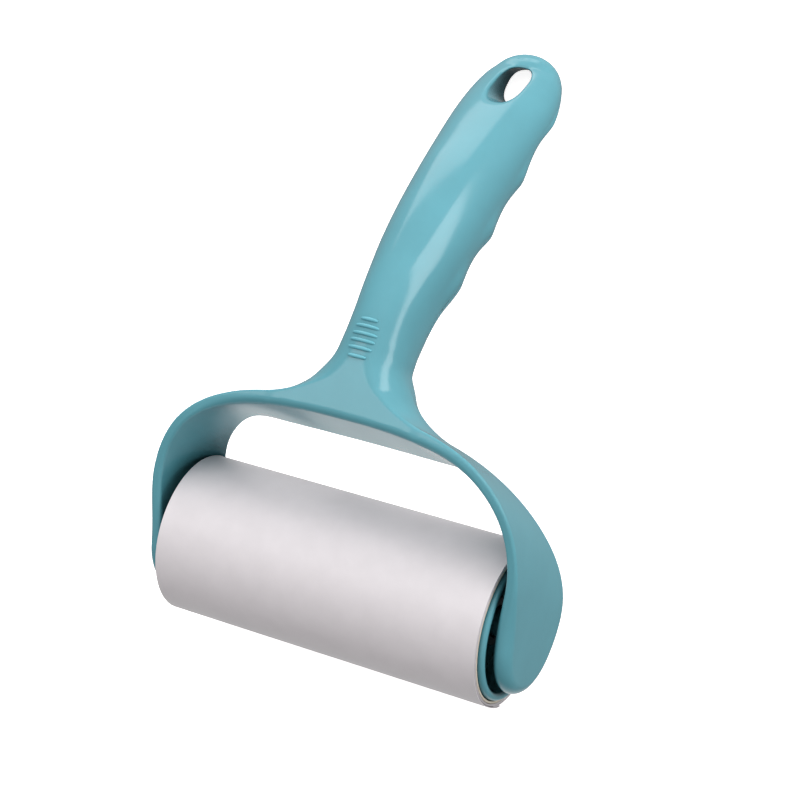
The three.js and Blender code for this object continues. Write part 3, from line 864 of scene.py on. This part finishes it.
def bump(tree, shader, source, distance, strength):
    """Relief of that depth on the shader's surface."""
    made = tree.nodes.new("ShaderNodeBump")
    made.inputs["Distance"].default_value = distance
    made.inputs["Strength"].default_value = strength
    tree.links.new(source, made.inputs["Height"])
    tree.links.new(made.outputs["Normal"], shader.inputs["Normal"])


def painted_cavity_shade(tree, low, high):
    """Painted shade: a share that falls from high in the open to low where other surfaces stand
    close.
    """
    near = tree.nodes.new("ShaderNodeAmbientOcclusion")
    near.samples = CAVITY_SAMPLES
    near.inputs["Distance"].default_value = CAVITY_REACH
    return spread_of(tree, near.outputs["AO"], low, high, CAVITY_CLOSED, CAVITY_OPEN)


def plastic(name, colour, roughness):
    """Glossy moulded plastic: faint clouding of the pigment and a slight unevenness of the skin,
    with painted shade in narrow places: darker colour and less gloss."""
    material, tree, shader = node_tree(name)
    cloud = noise(tree, scale=60, detail=3, roughness=0.55)
    # Painted shade: the base colour is darkened and the gloss lowered where other surfaces stand
    # close
    painted_shade = tree.nodes.new("ShaderNodeVectorMath")
    painted_shade.operation = "SCALE"
    tree.links.new(tones(tree, cloud, colour, (0.96, 1.04)), painted_shade.inputs[0])
    tree.links.new(painted_cavity_shade(tree, PAINTED_CAVITY_SHADE, 1), painted_shade.inputs["Scale"])
    tree.links.new(painted_shade.outputs["Vector"], shader.inputs["Base Color"])
    tree.links.new(painted_cavity_shade(tree, 0, OPEN_GLOSS), shader.inputs["Specular IOR Level"])
    skin = noise(tree, scale=900, detail=2, roughness=0.5)
    dull = spread_of(tree, skin, low=roughness * 0.85, high=roughness * 1.15)
    tree.links.new(dull, shader.inputs["Roughness"])
    bump(tree, shader, skin, distance=0.00002, strength=0.25)
    shader.inputs["IOR"].default_value = 1.5
    return material


def coated_paper(name, colour, roughness):
    """Coated paper: faint mottling, and a soft sheen that varies as an adhesive film does."""
    material, tree, shader = node_tree(name)
    mottle = noise(tree, scale=140, detail=5, roughness=0.6)
    tree.links.new(tones(tree, mottle, colour, (0.97, 1.02)), shader.inputs["Base Color"])
    film = noise(tree, scale=70, detail=3, roughness=0.5)
    dull = spread_of(tree, film, low=roughness * 0.85, high=roughness * 1.2)
    tree.links.new(dull, shader.inputs["Roughness"])
    fibre = noise(tree, scale=2200, detail=3, roughness=0.6)
    bump(tree, shader, fibre, distance=0.00002, strength=0.2)
    return material


def cardboard(name, colour):
    """Bare brown board: fine fibres and specks."""
    material, tree, shader = node_tree(name)
    fibre = noise(tree, scale=900, detail=6, roughness=0.7)
    tree.links.new(tones(tree, fibre, colour, (0.8, 1.1)), shader.inputs["Base Color"])
    shader.inputs["Roughness"].default_value = 0.85
    bump(tree, shader, fibre, distance=0.00005, strength=0.5)
    return material


# User settings


def length_setting(name, description, default):
    """A length in metres, given here in millimetres."""
    return FloatProperty(name=name, description=description, default=default * MM, min=0,
                         subtype="DISTANCE", unit="LENGTH", precision=5)


def power_setting(name, description, default):
    """A lamp's power in watts."""
    return FloatProperty(name=name, description=description, default=default, min=0,
                         subtype="POWER", unit="POWER")


def colour_setting(name, description, default):
    """A linear colour."""
    return FloatVectorProperty(name=name, description=description, default=default, size=3,
                               min=0, max=1, subtype="COLOR")


def dullness_setting(name, description, default):
    """A roughness, from a mirror at 0 to fully dull at 1."""
    return FloatProperty(name=name, description=description, default=default, min=0, max=1,
                         subtype="FACTOR")


def factor_setting(name, description, default):
    """A plain factor."""
    return FloatProperty(name=name, description=description, default=default, min=0)


class HandleSettings(bpy.types.PropertyGroup):
    arm_edge: length_setting("Arm edge", "Radius of the arms' long edges", 0.8)
    paddle_edge: length_setting("Paddle edge", "Radius of the round ends' outer edges", 3.2)
    paddle_swell: length_setting("Paddle swell", "How much thicker the round ends are inside", 1.9)
    bridge_edge: length_setting("Bridge edge", "Radius of the bridge's edges at the window", 1.8)
    fillet: length_setting("Fillet", "Radius between the grip's flare and the arch", 7)
    flat_edge: length_setting("Flat edge", "Radius round the flat on top of the neck", 0.5)
    lip: length_setting("Hole lip", "Radius of the hanging hole's rims", 1.2)
    cell: length_setting("Cell", "Size of the mesh's faces", 0.55)
    colour: colour_setting("Colour", "Plastic of the handle and the caps", (0.08, 0.272, 0.325))
    # Painted highlight: the thumb ribs' plastic is made paler by this factor, standing in for the
    # light on their rounded tops
    rib_painted_highlight: factor_setting("Rib shade", "How much paler the thumb ribs are", 1.35)
    roughness: dullness_setting("Roughness", "How dull the plastic is", 0.17)


class RollerSettings(bpy.types.PropertyGroup):
    segments: IntProperty(name="Segments", description="Faces round each turned piece",
                          default=192, min=48, max=512)
    edge: length_setting("Moulded edge", "Radius of the drum's and caps' edges", 0.35)
    paper_colour: colour_setting("Paper", "Coated face of the sheets", (0.595, 0.562, 0.58))
    paper_roughness: dullness_setting("Paper roughness", "How dull the paper is", 0.4)
    board_colour: colour_setting("Board", "Core tube", (0.6, 0.54, 0.45))


class StageSettings(bpy.types.PropertyGroup):
    floor_colour: colour_setting("Floor", "Pale studio floor", (0.97, 0.95, 0.945))
    floor_size: FloatProperty(name="Floor size", description="Side of the square floor", default=6,
                              min=1, subtype="DISTANCE", unit="LENGTH")
    floor_glow: factor_setting("Floor glow", "Light that the floor itself gives", 0.8)
    world_low: factor_setting("World low", "Even light from the front and below", 0.1)
    world_high: factor_setting("World high", "Even light from above, behind and the right", 1.15)
    world_bounce: factor_setting("World bounce", "More even light from below on the left", 0.9)
    overhead_power: power_setting("Overhead light", "Power of the large light above", 6)
    back_power: power_setting("Back light", "Power of the large light behind the handle", 2)
    side_power: power_setting("Side light", "Power of the large light at the right", 1)
    top_power: power_setting("Top light", "Power of the small light over the neck's flat", 0.75)
    strip_power: power_setting("Strip light", "Power of the long light at the right rear", 1.6)
    rear_power: power_setting("Rear light", "Power of the soft light at the left rear", 0.95)
    lens: FloatProperty(name="Lens", description="Focal length on the 36 mm sensor", default=93.04,
                        min=10, subtype="DISTANCE_CAMERA", unit="CAMERA")


# Builders

LOOK_LENGTHS = (
    "arm_edge", "paddle_edge", "paddle_swell", "bridge_edge", "fillet", "flat_edge", "lip",
)


class LINT_OT_handle(bpy.types.Operator):
    """Build the handle's two mouldings: the handle itself and the grip's cover"""

    bl_idname = "lint.handle"
    bl_label = "Handle"

    def execute(self, context):
        settings = context.scene.lint_handle
        look = {name: getattr(settings, name) / MM for name in LOOK_LENGTHS}
        teal = plastic("teal_plastic", settings.colour, settings.roughness)
        low, high = (np.array(v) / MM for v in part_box("handle_frame"))
        cell = settings.cell / MM
        points, faces, normals = field_mesh(
            lambda x, y, z: moulding(x, y, z, look), low, high, cell)
        piece("handle_moulding", points, faces, teal, "handle",
              ("handle_frame",), normals)
        low, high = (np.array(v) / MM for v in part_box("grip_underside"))
        points, faces, normals = field_mesh(cover, low, high, cell)
        piece("grip_cover", points, faces, teal, "handle",
              ("grip_underside",), normals)
        return {"FINISHED"}


class LINT_OT_ribs(bpy.types.Operator):
    """Build the thumb ribs on the handle"""

    bl_idname = "lint.ribs"
    bl_label = "Thumb ribs"

    def execute(self, context):
        settings = context.scene.lint_handle
        points, faces = thumb_ribs()
        # Painted highlight: a paler copy of the plastic stands in for the light on the ribs'
        # rounded tops
        pale = plastic("teal_ribs", shade(settings.colour, settings.rib_painted_highlight), settings.roughness)
        piece("thumb_ribs", points, faces, pale, "handle")
        return {"FINISHED"}


class LINT_OT_drum(bpy.types.Operator):
    """Build the drum and its two end caps"""

    bl_idname = "lint.drum"
    bl_label = "Drum and caps"

    def execute(self, context):
        handle, settings = context.scene.lint_handle, context.scene.lint_roller
        edge = settings.edge / MM
        teal = plastic("teal_caps", handle.colour, handle.roughness)
        drum = tube_outline(DRUM_INNER, DRUM_RADIUS, SHOULDER - FIT_GAP, edge, DRUM_STEPS)
        for name, node, outline, side in (
            ("drum_tube", "drum", drum, 1),
            ("cap_left", "end_cap_left", cap_outline(edge), -1),
            ("cap_right", "end_cap_right", cap_outline(edge), 1),
        ):
            points, faces = turned(outline, settings.segments, side)
            piece(name, points, faces, teal, "roller", (node,), crease=CREASE)
        return {"FINISHED"}


class LINT_OT_refill(bpy.types.Operator):
    """Build the refill: its core tube and the sticky sheets"""

    bl_idname = "lint.refill"
    bl_label = "Refill"

    def execute(self, context):
        settings = context.scene.lint_roller
        paper = coated_paper("sticky_paper", settings.paper_colour, settings.paper_roughness)
        board = cardboard("core_board", settings.board_colour)
        core = tube_outline(CORE_INNER, CORE_OUTER, ROLL_LENGTH / 2, CORE_EDGE, CORE_STEPS)
        points, faces = turned(core, settings.segments)
        piece("core", points, faces, board, "roller", ("core_tube",), crease=CREASE)
        points, faces = turned(wound_outline(), settings.segments)
        piece("wound_sheets", points, faces, paper, "roller", ("sheet_roll",),
              crease=CREASE)
        points, faces = top_sheet()
        piece("loose_sheet", points, faces, paper, "roller", ("top_sheet",),
              crease=CREASE)
        return {"FINISHED"}


class LINT_OT_stage(bpy.types.Operator):
    """Build the floor, the lights and the camera"""

    bl_idname = "lint.stage"
    bl_label = "Stage"

    def execute(self, context):
        settings = context.scene.lint_stage
        scene = context.scene
        scene.view_settings.view_transform = "Standard"
        half = settings.floor_size / 2
        corners = [(-half, -half, 0), (half, -half, 0), (half, half, 0), (-half, half, 0)]
        mesh = bpy.data.meshes.new("floor")
        mesh.from_pydata(corners, [], [(0, 1, 2, 3)])
        mesh.materials.append(floor_finish(settings.floor_colour, settings.floor_glow))
        floor = bpy.data.objects.new("floor", mesh)
        scene.collection.objects.link(floor)
        floor.visible_diffuse = False
        floor.visible_glossy = False
        scene.world = studio_world(settings.world_low, settings.world_high, settings.world_bounce)
        for name, toward, distance, size, first_side, in_gloss in LIGHTS:
            power = getattr(settings, name + "_power")
            made = light(name, toward, distance, size, first_side, power)
            made.visible_glossy = in_gloss
        scene.camera = camera(settings.lens)
        return {"FINISHED"}


def floor_finish(colour, glow):
    """The floor's dull pale finish, hardly clouded, with some light of its own."""
    material, tree, shader = node_tree("floor")
    cloud = noise(tree, scale=3, detail=2, roughness=0.5)
    pale = tones(tree, cloud, colour, (0.995, 1), (0, 1))
    tree.links.new(pale, shader.inputs["Base Color"])
    tree.links.new(pale, shader.inputs["Emission Color"])
    shader.inputs["Roughness"].default_value = 0.9
    shader.inputs["Specular IOR Level"].default_value = 0.1
    shader.inputs["Emission Strength"].default_value = glow
    return material


def studio_world(low, high, bounce):
    """Even white light that grows from the front and below to the back and the right, with a
    brighter patch below on the left, as a white table would show in the arch's underside."""
    world = bpy.data.worlds.new("studio")
    world.use_nodes = True
    tree = world.node_tree
    place = tree.nodes.new("ShaderNodeTexCoord")
    total = tree.nodes.new("ShaderNodeMath")
    parts = ((BRIGHT_SIDE, -1, low, high), (BOUNCE_SIDE, BOUNCE_START, 0, bounce))
    for (toward, start, least, most), socket in zip(parts, total.inputs):
        along = tree.nodes.new("ShaderNodeVectorMath")
        along.operation = "DOT_PRODUCT"
        along.inputs[1].default_value = Vector(toward).normalized()
        tree.links.new(place.outputs["Generated"], along.inputs[0])
        tree.links.new(spread_of(tree, along.outputs["Value"], least, most, start), socket)
    background = tree.nodes["Background"]
    background.inputs["Color"].default_value = (1, 1, 1, 1)
    tree.links.new(total.outputs["Value"], background.inputs["Strength"])
    return world


def light(name, toward, distance, size, first_side, power):
    """A soft rectangular light that faces the neck of the handle from that direction."""
    data = bpy.data.lights.new(name, "AREA")
    data.shape = "RECTANGLE"
    data.size, data.size_y = size
    data.energy = power
    made = bpy.data.objects.new(name, data)
    bpy.context.scene.collection.objects.link(made)
    back = Vector(toward).normalized()
    across = Vector(first_side)
    across = (across - across.dot(back) * back).normalized()
    turn = Matrix((across, back.cross(across), back)).transposed().to_4x4()
    made.matrix_world = Matrix.Translation(Vector(LIT_PLACE) + distance * back) @ turn
    return made


def camera(lens):
    """The camera at the photograph's angle: azimuth about the upright axis, then elevation, then
    roll about the line of sight."""
    azimuth, elevation, roll = np.radians((CAMERA_AZIMUTH, CAMERA_ELEVATION, CAMERA_ROLL))
    level = np.cos(elevation)
    back = np.array([np.sin(azimuth) * level, -np.sin(elevation), np.cos(azimuth) * level])
    right = np.cross([0, 1, 0], back)
    right /= np.linalg.norm(right)
    up = np.cross(back, right)
    cos, sin = np.cos(roll), np.sin(roll)
    right, up = cos * right + sin * up, cos * up - sin * right
    place = CAMERA_ASIDE * right + CAMERA_UP * up + CAMERA_DISTANCE * back + [0, 0, ROLL_RADIUS]
    data = bpy.data.cameras.new("camera")
    data.lens = lens
    data.sensor_width = SENSOR_WIDTH
    data.clip_start = CLIP_START
    made = bpy.data.objects.new("camera", data)
    bpy.context.scene.collection.objects.link(made)
    turn = Matrix((right, up, back)).transposed().to_4x4()
    made.matrix_world = Matrix.Translation(Vector(place * MM)) @ turn
    return made


# Settings and the builders that use them
GROUPS = {"handle": ("handle", "ribs"), "roller": ("drum", "refill"), "stage": ("stage",)}


class LINT_PT_panel(bpy.types.Panel):
    """Lists the builders and their settings"""

    bl_idname = "LINT_PT_panel"
    bl_label = "Lint Roller"
    bl_space_type = "VIEW_3D"
    bl_region_type = "UI"
    bl_category = "Lint Roller"

    def draw(self, context):
        for group, operators in GROUPS.items():
            box = self.layout.box()
            settings = getattr(context.scene, "lint_" + group)
            for name in settings.bl_rna.properties.keys():
                if name not in ("rna_type", "name"):
                    box.prop(settings, name)
            for operator in operators:
                box.operator("lint." + operator)


CLASSES = (
    HandleSettings,
    RollerSettings,
    StageSettings,
    LINT_OT_handle,
    LINT_OT_ribs,
    LINT_OT_drum,
    LINT_OT_refill,
    LINT_OT_stage,
    LINT_PT_panel,
)


def register():
    for made in CLASSES:
        bpy.utils.register_class(made)
    bpy.types.Scene.lint_handle = PointerProperty(type=HandleSettings)
    bpy.types.Scene.lint_roller = PointerProperty(type=RollerSettings)
    bpy.types.Scene.lint_stage = PointerProperty(type=StageSettings)


def unregister():
    del bpy.types.Scene.lint_stage
    del bpy.types.Scene.lint_roller
    del bpy.types.Scene.lint_handle
    for made in reversed(CLASSES):
        bpy.utils.unregister_class(made)


def main():
    register()
    bpy.ops.lint.handle()
    bpy.ops.lint.ribs()
    bpy.ops.lint.drum()
    bpy.ops.lint.refill()
    bpy.ops.lint.stage()


if __name__ == "__main__":
    main()
